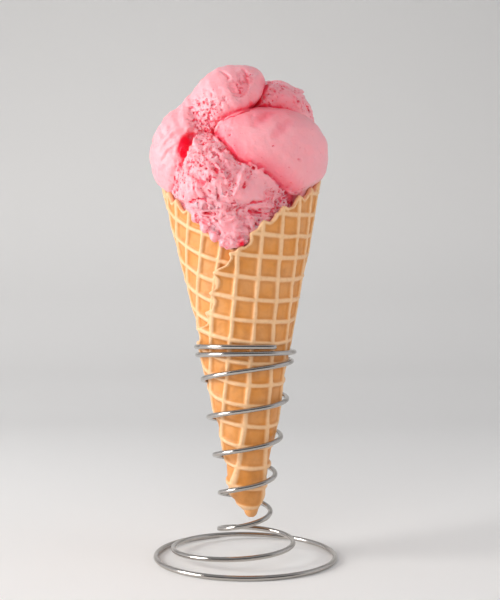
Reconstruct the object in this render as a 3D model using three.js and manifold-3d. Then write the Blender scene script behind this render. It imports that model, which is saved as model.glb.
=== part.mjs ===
// Ice cream cone standing in a spring-wire holder: a rolled waffle cone with five
// scoops pressed into its mouth. Millimetres, +Z up, the front faces -Y.
// Angles round the cone are in degrees from the front towards the right-hand side (+X).

import * as THREE from 'three';
import { mergeVertices } from 'three/addons/utils/BufferGeometryUtils.js';
import Module from 'manifold-3d';

const wasm = await Module();
wasm.setup();

const { degToRad, radToDeg, lerp } = THREE.MathUtils;

// ---------------------------------------------------------------- driving dimensions

const gap = 0.3; // clear space between neighbouring pieces

// Holder: one round wire, wound as a tapering coil that opens into a double ring.
// Stations down the wire: turns from the right-hand side (right, front, left, back),
// radius from the coil's axis, height of the wire's middle above the table.
const wireDiameter = 2.1;
const wireSides = 8;
const wireStepsPerTurn = 22;
const wireStations = [
  [0.15, 20.8, 90.1],
  [0.5, 21.6, 90.0],
  [1.0, 20.7, 87.9],
  [1.5, 21.1, 86.5],
  [2.0, 19.6, 84.0],
  [2.5, 18.7, 75.9],
  [6.0, 10.3, 19.4],
  [6.5, 11.5, 12.2],
  [7.0, 19.7, 7.5],
  [7.5, 31.3, 3.8],
  [8.0, 37.8, wireDiameter / 2],
  [8.5, 38.6, wireDiameter / 2],
  [8.7, 40.5, wireDiameter / 2],
];

// Rolled sheet: a round waffle disc wrapped to a point at its own edge, so that its
// free edge runs up from the tip round the left side to a notch at the front.
const tipHeight = 17.0; // underside of the tip above the table
const coneFoot = [2.1, 0.7]; // the axis at the tip, right of and behind the coil's axis
const coneLean = -0.034; // sideways run of the axis for each millimetre of rise
const sheetDiameter = 161.2; // the disc before rolling
const sheetPerTurn = 84; // degrees of sheet in a full turn round the cone
const highSide = 174; // angle round the cone of the highest point of the rim
const sheetTipDrop = 4.8; // the disc's edge would meet the axis this far below the tip
const sheetSlope = Math.cos(degToRad(13)); // rise for each millimetre along the sheet
const coneTipRadius = 3.0;
const coneTaper = 0.2135;
const coneWaist = { depth: 0.6, height: 77, spread: 22 }; // where the top ring holds it
const footBulge = { depth: 2, height: 13, spread: 9, angle: -95, width: 60 }; // loose fold
const tipRounding = 10; // height over which the tip rounds off
// The baked-shut tip inside the first wraps: height above the tip, radius.
const tipPlug = [[0, 0.8], [0.45, 1.45], [1.3, 2.1], [2.6, 2.6], [4.5, 2.9], [8, 3.9], [30, 8.1]];
const turnPitch = 1.5; // radius gained by each further wrap of the sheet
const wallThickness = 2.3; // from the pocket floors of the middle wrap to the hollow
const hollowFloor = 28; // height above the tip where the hollow starts
const heartHeight = 60; // height of a point inside both halves of the rolled sheet
const hiddenOverlap = 40; // degrees of the inner wrap kept under the free edge

// Waffle grid pressed into the flat disc: ribs at right angles, one family along the
// generator at ribAngle.
const ribPitch = 9.02;
const ribHalfWidth = 1.15;
const ribHeight = 0.75;
const ribKnob = 1.8; // how far a rib's end stands out of the disc's edge
const ribAngle = 30;
const ribPhase = { u: 0.2, w: 2.1 }; // where each family's rib number 0 lies
const seamRow = -1; // the rib where the two halves of the sheet meet
const outerRows = 5;
const innerRows = 15;
const sheetCut = 9.0; // the sheet starts this far from its corner
const clipSnap = 0.35; // vertices this near to a cut are taken as lying on it
const widestStep = 45; // degrees round the cone that one flat facet may span

// The free edge is flattened where it crosses the front on its way down.
const flattening = { depth: 5.5, along: 97, angle: -45, spread: 16 };

// Scoops: centre and half sizes, height of the small crags, and lumps, each an angle
// round the cone, an elevation, a spread in degrees and a height. The top scoop's lower
// edge is trimmed flat over the back scoop.
const scoopDetail = 5;
const scoops = {
  scoop_front: {
    centre: [-8, -10.5, 157.5],
    half: [23, 25, 23.5],
    crag: 1.1,
    detail: 7,
    lumps: [
      [3, -48, 16, 4], [70, -5, 26, 5.5], [30, 50, 30, -2], [-50, 42, 22, 4], [22, 24, 20, -2],
    ],
    colour: 0xf2a0b0,
  },
  scoop_right: {
    centre: [11.2, -9, 172.8],
    half: [23.6, 23, 18.6],
    crag: 0.3,
    detail: scoopDetail,
    lumps: [[45, -55, 38, 6], [-60, -10, 40, 1.5], [-54, 25, 25, 5], [-32, -14, 24, 3]],
    colour: 0xee93a4,
  },
  scoop_left: {
    centre: [-24.4, -1, 173.7],
    half: [17.8, 21, 22.0],
    crag: 0.5,
    detail: scoopDetail,
    lumps: [[-90, 48, 28, -2.5], [-170, 10, 30, 1.5]],
    colour: 0xf7bcc6,
  },
  scoop_back: {
    centre: [3.5, 12, 184.5],
    half: [24.5, 22, 24.5],
    crag: 1.1,
    detail: scoopDetail + 1,
    lumps: [
      [95, 50, 18, 4], [65, 66, 18, 1.5], [85, 22, 20, 4], [10, 27, 20, 7], [40, 25, 20, 4.5],
      [150, 48, 25, 2], [-140, -25, 30, 3],
    ],
    colour: 0xec8fa0,
  },
  scoop_top: {
    centre: [-6.4, -5, 190.3],
    half: [19.8, 20, 20.2],
    crag: 0.5,
    detail: scoopDetail,
    lumps: [[-90, 42, 22, -1.2], [60, 58, 22, 2.2], [75, 5, 28, -1.5], [160, 20, 35, 1]],
    trim: { at: [4.4, 0, 192.2], facing: [0.772, 0, -0.635] },
    colour: 0xf4a9b7,
  },
};
const coreTop = 148; // height above the tip to which the ice cream fills the cone evenly

// ---------------------------------------------------------------- solids and meshes

// A closed geometry as a solid that can be joined and cut.
function toSolid(geometry) {
  const bare = new THREE.BufferGeometry();
  bare.setAttribute('position', geometry.getAttribute('position').clone());
  if (geometry.index) bare.setIndex(geometry.index.clone());
  const merged = mergeVertices(bare, 1e-4);
  return new wasm.Manifold(new wasm.Mesh({
    numProp: 3,
    vertProperties: new Float32Array(merged.getAttribute('position').array),
    triVerts: new Uint32Array(merged.index.array),
  }));
}

function toGeometry(solid) {
  const mesh = solid.getMesh();
  const geometry = new THREE.BufferGeometry();
  geometry.setAttribute('position', new THREE.BufferAttribute(mesh.vertProperties, 3));
  geometry.setIndex(new THREE.BufferAttribute(mesh.triVerts, 1));
  geometry.computeVertexNormals();
  return geometry;
}

// The largest body that a cut or join leaves, with any sealed pinhole in it filled.
function largestBody(solid) {
  return solid.decompose().reduce((best, body) => (body.volume() > best.volume() ? body : best));
}

function indexedGeometry(points, triangles) {
  const geometry = new THREE.BufferGeometry();
  geometry.setAttribute('position', new THREE.Float32BufferAttribute(points.flat(), 3));
  geometry.setIndex(triangles.flat());
  return geometry;
}

function namedMesh(name, geometry, colour, roughness, metalness) {
  const material = new THREE.MeshStandardMaterial({ color: colour, roughness, metalness });
  const mesh = new THREE.Mesh(geometry, material);
  mesh.name = name;
  return mesh;
}

// ---------------------------------------------------------------- wire holder

// Radius or height at a turn: a cubic through the stations, with each station's slope
// taken from its neighbours.
function alongWire(turn, column) {
  const last = wireStations.length - 1;
  let i = wireStations.findIndex((station) => station[0] > turn) - 1;
  if (i < 0) i = last - 1;
  const slopeAt = (k) => {
    const before = wireStations[Math.max(k - 1, 0)];
    const after = wireStations[Math.min(k + 1, last)];
    return (after[column] - before[column]) / (after[0] - before[0]);
  };
  const [from, to] = [wireStations[i], wireStations[i + 1]];
  const span = to[0] - from[0];
  const t = (turn - from[0]) / span;
  const rise = to[column] - from[column];
  const startBend = slopeAt(i) * span - rise;
  const endBend = rise - slopeAt(i + 1) * span;
  return from[column] + t * rise + t * (1 - t) * ((1 - t) * startBend + t * endBend);
}

class WireCurve extends THREE.Curve {
  constructor() {
    super();
    this.firstTurn = wireStations[0][0];
    this.lastTurn = wireStations[wireStations.length - 1][0];
  }

  getPoint(t, target = new THREE.Vector3()) {
    const turn = lerp(this.firstTurn, this.lastTurn, t);
    const angle = turn * 2 * Math.PI;
    const radius = alongWire(turn, 1);
    const height = Math.max(alongWire(turn, 2), wireDiameter / 2);
    return target.set(radius * Math.cos(angle), -radius * Math.sin(angle), height);
  }

  // Steps are even in angle, so that every turn gets as many.
  getPointAt(u, target) {
    return this.getPoint(u, target);
  }

  // The section stays upright: its first axis is level and points out of the coil.
  computeFrenetFrames(segments) {
    const up = new THREE.Vector3(0, 0, 1);
    const frames = { tangents: [], normals: [], binormals: [] };
    for (let i = 0; i <= segments; i += 1) {
      const tangent = this.getTangent(i / segments);
      const normal = tangent.clone().cross(up).multiplyScalar(-1).normalize();
      frames.tangents.push(tangent);
      frames.normals.push(normal);
      frames.binormals.push(tangent.clone().cross(normal));
    }
    return frames;
  }
}

function makeHolder() {
  const curve = new WireCurve();
  const cornerRadius = wireDiameter / 2 / Math.cos(Math.PI / wireSides);
  const corners = [];
  for (let i = 0; i < wireSides; i += 1) {
    const angle = ((i + 0.5) * 2 * Math.PI) / wireSides;
    corners.push(new THREE.Vector2(Math.cos(angle), Math.sin(angle)).multiplyScalar(cornerRadius));
  }
  return new THREE.ExtrudeGeometry(new THREE.Shape(corners), {
    extrudePath: curve,
    steps: Math.round((curve.lastTurn - curve.firstTurn) * wireStepsPerTurn),
    bevelEnabled: false,
  });
}

// ---------------------------------------------------------------- rolled cone

const radialAt = (angle) => {
  const turned = degToRad(angle);
  return new THREE.Vector3(Math.sin(turned), -Math.cos(turned), 0);
};

// Radius of the sheet's pocket floor at a height above the tip, before the wraps' offset.
const coneRadius = (height) => {
  const waist = Math.exp(-(((height - coneWaist.height) / coneWaist.spread) ** 2));
  return coneTipRadius + coneTaper * height - coneWaist.depth * waist;
};

// The fold that stands out on the left above the tip.
const bulgeAt = (height, angle) => {
  const turned = THREE.MathUtils.euclideanModulo(angle - footBulge.angle + 180, 360) - 180;
  const rise = ((height - footBulge.height) / footBulge.spread) ** 2;
  return footBulge.depth * Math.exp(-rise - (turned / footBulge.width) ** 2);
};

// Each wrap lies under the one that the free edge ends.
const wrapOffset = (angle) => (turnPitch * (highSide - angle)) / 360;

const roundOff = (height) => 1 - Math.max(1 - height / tipRounding, 0) ** 2;

const axisPoint = (height) => [coneFoot[0] + coneLean * height, coneFoot[1], tipHeight + height];

// Where a point of the flat sheet lies once rolled: along is its distance from the
// sheet's corner, angle its place round the cone, level its height off the pocket floor.
function rolledPoint(along, angle, level) {
  const height = Math.max(along * sheetSlope - sheetTipDrop, 0.2);
  const wrapped = coneRadius(height) + wrapOffset(angle) + level;
  const radius = roundOff(height) * wrapped + bulgeAt(height, angle);
  const radial = radialAt(angle);
  const [axisX, axisY, z] = axisPoint(height);
  return [axisX + radius * radial.x, axisY + radius * radial.y, z];
}

// Degrees of sheet per degree round the cone.
const sheetShare = sheetPerTurn / 360;

// How far the disc reaches from its corner at an angle round the cone.
const discReach = (angle) => sheetDiameter * Math.cos(degToRad((angle - highSide) * sheetShare));

// Angle round the cone of the outer free edge at a distance from the corner.
const freeEdge = (along) =>
  highSide - radToDeg(Math.acos(Math.min(along / sheetDiameter, 1))) / sheetShare;

// Flat sheet coordinates: u along the ribs of the first family, w across them.
const sheetAlong = (u, w) => Math.hypot(u, w);
const sheetAngle = (u, w) => ribAngle + radToDeg(Math.atan2(w, u)) / sheetShare;

// A flat patch of the grid: columns of pockets along u, rows between two ribs along w.
// A pocket is a flat floor with four flanks that rise to the crests of its ribs.
function waffleGrid(firstRow, rowCount) {
  const firstColumn = -2;
  const columnCount = Math.ceil(sheetDiameter / ribPitch);
  const vertices = [];
  const triangles = [];
  const crest = (column, row) => row * (columnCount + 1) + column;
  for (let row = 0; row <= rowCount; row += 1) {
    for (let column = 0; column <= columnCount; column += 1) {
      const u = ribPhase.u + (firstColumn + column) * ribPitch;
      vertices.push({ u, w: ribPhase.w + (firstRow + row) * ribPitch, rise: ribHeight });
    }
  }
  for (let row = 0; row < rowCount; row += 1) {
    for (let column = 0; column < columnCount; column += 1) {
      const corners = [[0, 0], [1, 0], [1, 1], [0, 1]];
      const crests = corners.map(([c, r]) => crest(column + c, row + r));
      const floor = corners.map(([c, r], i) => {
        const { u, w } = vertices[crests[i]];
        vertices.push({
          u: u + ribHalfWidth * (1 - 2 * c),
          w: w + ribHalfWidth * (1 - 2 * r),
          rise: 0,
        });
        return vertices.length - 1;
      });
      triangles.push([floor[0], floor[1], floor[2]], [floor[0], floor[2], floor[3]]);
      for (let i = 0; i < 4; i += 1) {
        const next = (i + 1) % 4;
        triangles.push([crests[i], crests[next], floor[next]], [crests[i], floor[next], floor[i]]);
      }
    }
  }
  return { vertices, triangles };
}

// Cuts a flat patch to where keep(u, w), a distance, is positive.
function clipPatch(patch, keep) {
  const vertices = patch.vertices.slice();
  const depths = vertices.map(({ u, w }) => {
    const depth = keep(u, w);
    return Math.abs(depth) < clipSnap ? 0 : depth;
  });
  const crossings = new Map();
  const crossing = (a, b) => {
    const key = a < b ? `${a}_${b}` : `${b}_${a}`;
    if (!crossings.has(key)) {
      const [p, q] = a < b ? [a, b] : [b, a];
      const t = depths[p] / (depths[p] - depths[q]);
      const [from, to] = [vertices[p], vertices[q]];
      vertices.push({
        u: lerp(from.u, to.u, t),
        w: lerp(from.w, to.w, t),
        rise: lerp(from.rise, to.rise, t),
      });
      crossings.set(key, vertices.length - 1);
    }
    return crossings.get(key);
  };
  const triangles = [];
  for (const triangle of patch.triangles) {
    const outline = [];
    for (let i = 0; i < 3; i += 1) {
      const [a, b] = [triangle[i], triangle[(i + 1) % 3]];
      if (depths[a] >= 0) outline.push(a);
      if (depths[a] * depths[b] < 0) outline.push(crossing(a, b));
    }
    const kept = triangle.some((vertex) => depths[vertex] > 0);
    if (!kept) continue;
    for (let i = 1; i + 1 < outline.length; i += 1) {
      triangles.push([outline[0], outline[i], outline[i + 1]]);
    }
  }
  return { vertices, triangles };
}

// Halves every edge that would span too wide an angle once rolled, until none does.
function refinePatch(patch) {
  const vertices = patch.vertices.slice();
  const middles = new Map();
  const middle = (a, b) => {
    const key = a < b ? `${a}_${b}` : `${b}_${a}`;
    if (!middles.has(key)) {
      const [from, to] = [vertices[a], vertices[b]];
      const [start, end] = [sheetAngle(from.u, from.w), sheetAngle(to.u, to.w)];
      const wide = Math.abs(start - end) > widestStep;
      if (wide) {
        const [u, w, rise] = ['u', 'w', 'rise'].map((at) => (from[at] + to[at]) / 2);
        vertices.push({ u, w, rise });
      }
      middles.set(key, wide ? vertices.length - 1 : -1);
    }
    return middles.get(key);
  };
  const triangles = [];
  const split = (triangle) => {
    const halves = triangle.map((vertex, i) => middle(vertex, triangle[(i + 1) % 3]));
    const first = halves.findIndex((half) => half >= 0);
    if (first < 0) {
      triangles.push(triangle);
      return;
    }
    const [a, b, c] = [0, 1, 2].map((i) => triangle[(first + i) % 3]);
    split([a, halves[first], c]);
    split([halves[first], b, c]);
  };
  patch.triangles.forEach(split);
  return { vertices, triangles };
}

// Rolls a flat patch up and closes it behind with a fan to one point on the axis.
function rollPatch(patch) {
  const used = new Map();
  for (const vertex of new Set(patch.triangles.flat())) used.set(vertex, used.size);
  const points = [...used.keys()].map((vertex) => {
    const { u, w, rise } = patch.vertices[vertex];
    return rolledPoint(sheetAlong(u, w), sheetAngle(u, w), rise);
  });
  const heart = points.length;
  points.push(axisPoint(heartHeight));
  const triangles = [];
  const edges = new Map();
  for (const triangle of patch.triangles) {
    const corners = triangle.map((vertex) => used.get(vertex)).reverse();
    triangles.push(corners);
    corners.forEach((from, i) => {
      const to = corners[(i + 1) % 3];
      if (!edges.delete(`${to}_${from}`)) edges.set(`${from}_${to}`, [from, to]);
    });
  }
  for (const [from, to] of edges.values()) triangles.push([to, from, heart]);
  return indexedGeometry(points, triangles);
}

// Distance inside the disc's outline, which the rib ends knob.
function insideDisc(u, w) {
  const centreTurn = degToRad((highSide - ribAngle) * sheetShare);
  const radius = sheetDiameter / 2;
  const ribNearness = (at, phase) => {
    const ribsAway = (at - phase) / ribPitch;
    const distance = Math.abs(ribsAway - Math.round(ribsAway)) * ribPitch;
    return Math.max(1 - distance / ribHalfWidth, 0);
  };
  const knob = ribKnob * Math.max(ribNearness(u, ribPhase.u), ribNearness(w, ribPhase.w));
  const flatAt = degToRad((flattening.angle - ribAngle) * sheetShare);
  const off = Math.hypot(
    u - flattening.along * Math.cos(flatAt),
    w - flattening.along * Math.sin(flatAt),
  ) / flattening.spread;
  return radius + knob - flattening.depth * Math.exp(-(off ** 2))
    - Math.hypot(u - radius * Math.cos(centreTurn), w - radius * Math.sin(centreTurn));
}

const beyondTip = (u, w) => sheetAlong(u, w) - sheetCut;

// Distance short of the line where the inner wrap is lost under the outer one.
function beforeHiddenEnd(u, w) {
  const along = sheetAlong(u, w);
  const end = freeEdge(along) + 360 + hiddenOverlap;
  return degToRad((end - sheetAngle(u, w)) * sheetShare) * along;
}

// A round solid on the cone's leaning axis, from pairs of height and radius.
function onConeAxis(pairs, sides) {
  const [first, last] = [pairs[0], pairs[pairs.length - 1]];
  const profile = [[first[0], 0], ...pairs, [last[0], 0]].map(
    ([height, radius]) => new THREE.Vector2(radius, height),
  );
  const geometry = new THREE.LatheGeometry(profile, sides).rotateX(Math.PI / 2);
  const shear = new THREE.Matrix4().makeShear(0, 0, 0, 0, coneLean, 0);
  return toSolid(geometry.applyMatrix4(shear).translate(...coneFoot, tipHeight));
}

// The same, at an inset from the pocket floors.
const insideCone = (heights, inset) =>
  onConeAxis(heights.map((height) => [height, coneRadius(height) - inset]), 28);

function makeCone() {
  const outerHalf = clipPatch(waffleGrid(seamRow - outerRows, outerRows), insideDisc);
  const innerHalf = clipPatch(waffleGrid(seamRow, innerRows), insideDisc);
  const inner = clipPatch(clipPatch(innerHalf, beyondTip), beforeHiddenEnd);
  const outer = clipPatch(outerHalf, beyondTip);
  const [under, over] = [inner, outer].map((patch) => toSolid(rollPatch(refinePatch(patch))));
  const tip = onConeAxis(tipPlug, 16);
  const hollow = insideCone([hollowFloor, 65, 110, 160], wallThickness);
  return largestBody(over.add(under).add(tip).subtract(hollow));
}

// The cone's wall grown by the gap, as a plain slab between two angles: what the
// scoops are cut back from.
function makeWallCutter(fromAngle, toAngle) {
  const lowest = 92;
  const angleSteps = Math.ceil((toAngle - fromAngle) / 15);
  const alongSteps = 3;
  const points = [];
  for (const level of [ribHeight + gap, -(wallThickness + gap)]) {
    for (let i = 0; i <= angleSteps; i += 1) {
      const angle = lerp(fromAngle, toAngle, i / angleSteps);
      const reach = Math.max(discReach(angle) + ribKnob + gap, lowest + 2);
      for (let j = 0; j <= alongSteps; j += 1) {
        points.push(rolledPoint(lerp(lowest, reach, j / alongSteps), angle, level));
      }
    }
  }
  const row = alongSteps + 1;
  const side = (angleSteps + 1) * row;
  const triangles = [];
  const quad = (a, b, c, d) => triangles.push([a, b, c], [a, c, d]);
  for (let i = 0; i < angleSteps; i += 1) {
    for (let j = 0; j < alongSteps; j += 1) {
      const a = i * row + j;
      quad(a, a + row, a + row + 1, a + 1);
      quad(a + side, a + side + 1, a + side + row + 1, a + side + row);
    }
    const low = i * row;
    const high = low + alongSteps;
    quad(low, low + side, low + side + row, low + row);
    quad(high, high + row, high + side + row, high + side);
  }
  for (let j = 0; j < alongSteps; j += 1) {
    const far = angleSteps * row + j;
    quad(j, j + 1, j + 1 + side, j + side);
    quad(far, far + side, far + side + 1, far + 1);
  }
  return toSolid(indexedGeometry(points, triangles));
}

// ---------------------------------------------------------------- scoops

// Unevenness of scooped ice cream at a point, about -1 to 1.
function cragAt(x, y, z) {
  const coarse = Math.sin(0.31 * x + 1.3 * Math.sin(0.23 * z + 0.4)) * Math.sin(0.36 * z - 0.21 * y);
  const fine = Math.sin(0.74 * x - 0.5 * y + 1.1) * Math.sin(0.82 * z + 0.37 * x + 2.0);
  return 0.6 * coarse + 0.4 * fine;
}

// Radius of a scoop from its centre in a unit direction.
function scoopRadius({ centre, half, crag, lumps }, direction) {
  const ball = 1 / Math.hypot(direction.x / half[0], direction.y / half[1], direction.z / half[2]);
  const raised = lumps.reduce((sum, [angle, elevation, spread, height]) => {
    const pointing = radialAt(angle).multiplyScalar(Math.cos(degToRad(elevation)));
    pointing.z = Math.sin(degToRad(elevation));
    const away = radToDeg(pointing.angleTo(direction)) / spread;
    return sum + height * Math.exp(-(away ** 2));
  }, 0);
  const on = direction.clone().multiplyScalar(ball);
  return ball + raised + crag * cragAt(centre[0] + on.x, centre[1] + on.y, centre[2] + on.z);
}

function makeBall(scoop, grown) {
  const geometry = new THREE.IcosahedronGeometry(1, scoop.detail);
  const position = geometry.getAttribute('position');
  const direction = new THREE.Vector3();
  for (let i = 0; i < position.count; i += 1) {
    direction.fromBufferAttribute(position, i).normalize();
    const point = direction.clone().multiplyScalar(scoopRadius(scoop, direction) + grown);
    position.setXYZ(i, point.x, point.y, point.z);
  }
  const ball = toSolid(geometry.translate(...scoop.centre));
  if (!scoop.trim) return ball;
  const inward = new THREE.Vector3(...scoop.trim.facing).normalize().negate();
  const offset = inward.dot(new THREE.Vector3(...scoop.trim.at)) - grown;
  return ball.trimByPlane(inward.toArray(), offset);
}

// Each scoop is cut back from the cone's wall and from the scoops made before it.
function makeScoops() {
  const wall = makeWallCutter(freeEdge(96), 16).add(makeWallCutter(14, 392));
  const core = insideCone([hollowFloor + gap, 65, 110, coreTop], wallThickness + gap);
  const meshes = [];
  let taken = wall;
  for (const [name, scoop] of Object.entries(scoops)) {
    let solid = makeBall(scoop, 0);
    let grown = makeBall(scoop, gap);
    if (name === 'scoop_front') {
      solid = solid.add(core);
      grown = grown.add(core);
    }
    const cut = largestBody(solid.subtract(taken));
    meshes.push(namedMesh(name, toGeometry(cut), scoop.colour, 0.6, 0));
    taken = taken.add(grown);
  }
  return meshes;
}

// ---------------------------------------------------------------- the whole

const group = new THREE.Group();
group.add(namedMesh('holder', makeHolder(), 0xa9aaab, 0.22, 1));
group.add(namedMesh('cone', toGeometry(makeCone()), 0xeec287, 0.75, 0));
makeScoops().forEach((mesh) => group.add(mesh));

// The origin is the middle of the whole, on the table.
const middle = new THREE.Box3().setFromObject(group).getCenter(new THREE.Vector3());
group.position.set(-middle.x, -middle.y, 0);

export default group;
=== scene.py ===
# Ice cream cone in a spring-wire holder: the looks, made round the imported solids.
# Shapes are worked out in millimetres round the coil's axis, with the table at 0 and the
# front towards -Y, and turned into metres in the frame when a mesh is made.
import math

import bpy
import numpy as np
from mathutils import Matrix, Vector


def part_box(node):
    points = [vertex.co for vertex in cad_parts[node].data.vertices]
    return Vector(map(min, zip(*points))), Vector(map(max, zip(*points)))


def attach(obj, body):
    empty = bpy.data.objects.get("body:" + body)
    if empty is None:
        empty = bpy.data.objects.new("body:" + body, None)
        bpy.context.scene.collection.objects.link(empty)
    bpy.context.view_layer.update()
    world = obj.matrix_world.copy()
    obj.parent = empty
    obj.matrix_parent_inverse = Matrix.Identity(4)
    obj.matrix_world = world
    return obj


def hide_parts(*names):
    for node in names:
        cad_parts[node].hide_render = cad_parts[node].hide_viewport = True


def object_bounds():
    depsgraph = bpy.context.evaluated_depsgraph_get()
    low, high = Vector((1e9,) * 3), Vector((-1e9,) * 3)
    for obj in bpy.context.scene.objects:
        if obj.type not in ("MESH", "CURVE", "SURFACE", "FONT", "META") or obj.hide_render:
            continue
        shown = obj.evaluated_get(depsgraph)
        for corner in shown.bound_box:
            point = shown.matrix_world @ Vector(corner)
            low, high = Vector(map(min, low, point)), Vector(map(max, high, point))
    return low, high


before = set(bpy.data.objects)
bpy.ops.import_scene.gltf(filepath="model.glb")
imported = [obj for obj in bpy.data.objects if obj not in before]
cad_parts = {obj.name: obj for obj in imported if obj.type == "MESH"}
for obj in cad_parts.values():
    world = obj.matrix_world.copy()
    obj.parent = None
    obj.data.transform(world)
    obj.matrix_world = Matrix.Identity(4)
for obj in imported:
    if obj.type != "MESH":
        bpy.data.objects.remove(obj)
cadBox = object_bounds()
print("frame loaded")

def smoothStep(low, high, x):
    t = np.clip((x - low) / (high - low), 0, 1)
    return t * t * (3 - 2 * t)


def bell(x, spread):
    return np.exp(-(x / spread) ** 2)


def softened(gap, width):  # what a soft join of this width adds where two distances differ by gap
    return np.maximum(width - gap, 0) ** 2 / (4 * width)


def radialAt(angle):  # degrees from the front towards the right-hand side
    turned = np.radians(angle)
    return np.sin(turned), -np.cos(turned)


latticeShift = 100.37  # keeps every place positive, and the origin off a grid corner


def latticeAt(points, cell):  # the grid corner under each point, and the place inside that cell
    place = (points / cell + latticeShift).astype(np.float32)
    corner = np.floor(place).astype(np.int32)
    return corner, place - corner


def noiseAt(points, cell, seed):  # gradient noise, about -1 to 1
    size, steepness = 20, 1.6
    slopes = np.random.default_rng(seed).uniform(-1, 1, (size, size, size, 3)).astype(np.float32)
    slopes *= steepness / np.linalg.norm(slopes, axis=3, keepdims=True)
    corner, inside = latticeAt(points, cell)
    ease = inside ** 3 * (inside * (inside * 6 - 15) + 10)
    total = np.zeros(len(points), np.float32)
    for i in range(8):
        step = np.array([i & 1, i >> 1 & 1, i >> 2 & 1])
        slope = slopes[tuple(((corner + step) % size).T)]
        weight = np.prod(np.where(step, ease, 1 - ease), axis=1)
        total += weight * np.einsum("ij,ij->i", slope, inside - step.astype(np.float32))
    return total


def grainsAt(points, cell, seed):  # 0 in the middle of a rounded grain, about 0.8 between grains
    size = 24
    middles = np.random.default_rng(seed).uniform(0.1, 0.9, (size, size, size, 3)).astype(np.float32)
    corner, inside = latticeAt(points, cell)
    nearest = np.full(len(points), 9.0, np.float32)
    for i in range(27):
        step = np.array([i % 3 - 1, i // 3 % 3 - 1, i // 9 - 1], np.int32)
        away = middles[tuple(((corner + step) % size).T)] + step - inside
        nearest = np.minimum(nearest, np.einsum("ij,ij->i", away, away))
    return np.sqrt(nearest)


# the wire holder
wire = {
    "diameter": 2.1, "sides": 20, "stepsPerTurn": 80,
    # the steel's colour: its own grey, warmed towards brown as a painted reflection of the room it mirrors
    "steel": (0.54, 0.505, 0.475, 1), "roughness": 0.11,
    # turns from the right-hand side, radius, height of the wire's middle
    "stations": [
        (0.15, 20.8, 90.1), (0.5, 21.6, 90.0), (1.0, 20.7, 87.9), (1.5, 21.1, 86.5),
        (2.0, 19.6, 84.0), (2.5, 18.7, 75.9), (6.0, 10.3, 19.4), (6.5, 11.5, 12.2),
        (7.0, 19.7, 7.5), (7.5, 31.3, 3.8), (8.0, 37.8, 1.05), (8.5, 38.6, 1.05),
        (8.7, 40.5, 1.05),
    ],
    # the cut ends are rounded: distance from the end, share of the radius
    "endRounding": [(0, 0.45), (0.06, 0.72), (0.2, 0.9), (0.45, 1.0)], "endLength": 1.0,
}


def alongWire(turn, column):  # a cubic through the stations
    stations = np.array(wire["stations"])
    at, value = stations[:, 0], stations[:, column]
    slope = np.empty(len(at))
    slope[1:-1] = (value[2:] - value[:-2]) / (at[2:] - at[:-2])
    slope[0] = (value[1] - value[0]) / (at[1] - at[0])
    slope[-1] = (value[-1] - value[-2]) / (at[-1] - at[-2])
    i = np.clip(np.searchsorted(at, turn, side="right") - 1, 0, len(at) - 2)
    span = at[i + 1] - at[i]
    t = (turn - at[i]) / span
    rise = value[i + 1] - value[i]
    startBend = slope[i] * span - rise
    endBend = rise - slope[i + 1] * span
    return value[i] + t * rise + t * (1 - t) * ((1 - t) * startBend + t * endBend)


def wirePath(turn):
    radius = alongWire(turn, 1)
    height = np.maximum(alongWire(turn, 2), wire["diameter"] / 2)
    angle = turn * 2 * np.pi
    return np.stack([radius * np.cos(angle), -radius * np.sin(angle), height], axis=1)


# the coil's axis in the frame, from where the wire reaches furthest
firstTurn, lastTurn = wire["stations"][0][0], wire["stations"][-1][0]
wireReach = wirePath(np.linspace(firstTurn, lastTurn, 6000))
holderLow, holderHigh = [np.array(corner) * 1000 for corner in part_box("holder")]
wireMiddle = (wireReach.min(0) + wireReach.max(0)) / 2
coilAxis = (holderLow + holderHigh) / 2 - wireMiddle
coilAxis[2] = 0
cadLow, cadHigh = [np.array(corner) * 1000 - coilAxis for corner in cadBox]
print("coil axis at", np.round(coilAxis, 2))


def makePiece(name, points, faces):
    mesh = bpy.data.meshes.new(name)
    mesh.from_pydata(((points + coilAxis) / 1000).tolist(), [], faces)
    mesh.validate()
    mesh.update()
    mesh.shade_smooth()
    piece = bpy.data.objects.new(name, mesh)
    bpy.context.scene.collection.objects.link(piece)
    return piece


def addNumbers(piece, name, values):  # one number for each vertex, read by a material
    layer = piece.data.attributes.new(name, "FLOAT", "POINT")
    layer.data.foreach_set("value", np.asarray(values, np.float32))


def tubeFaces(start, rings, sides):  # quads between rings of points that follow each other
    faces = []
    for ring in range(rings - 1):
        a = start + ring * sides
        for j in range(sides):
            k = (j + 1) % sides
            faces.append((a + j, a + k, a + sides + k, a + sides + j))
    return faces


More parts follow.
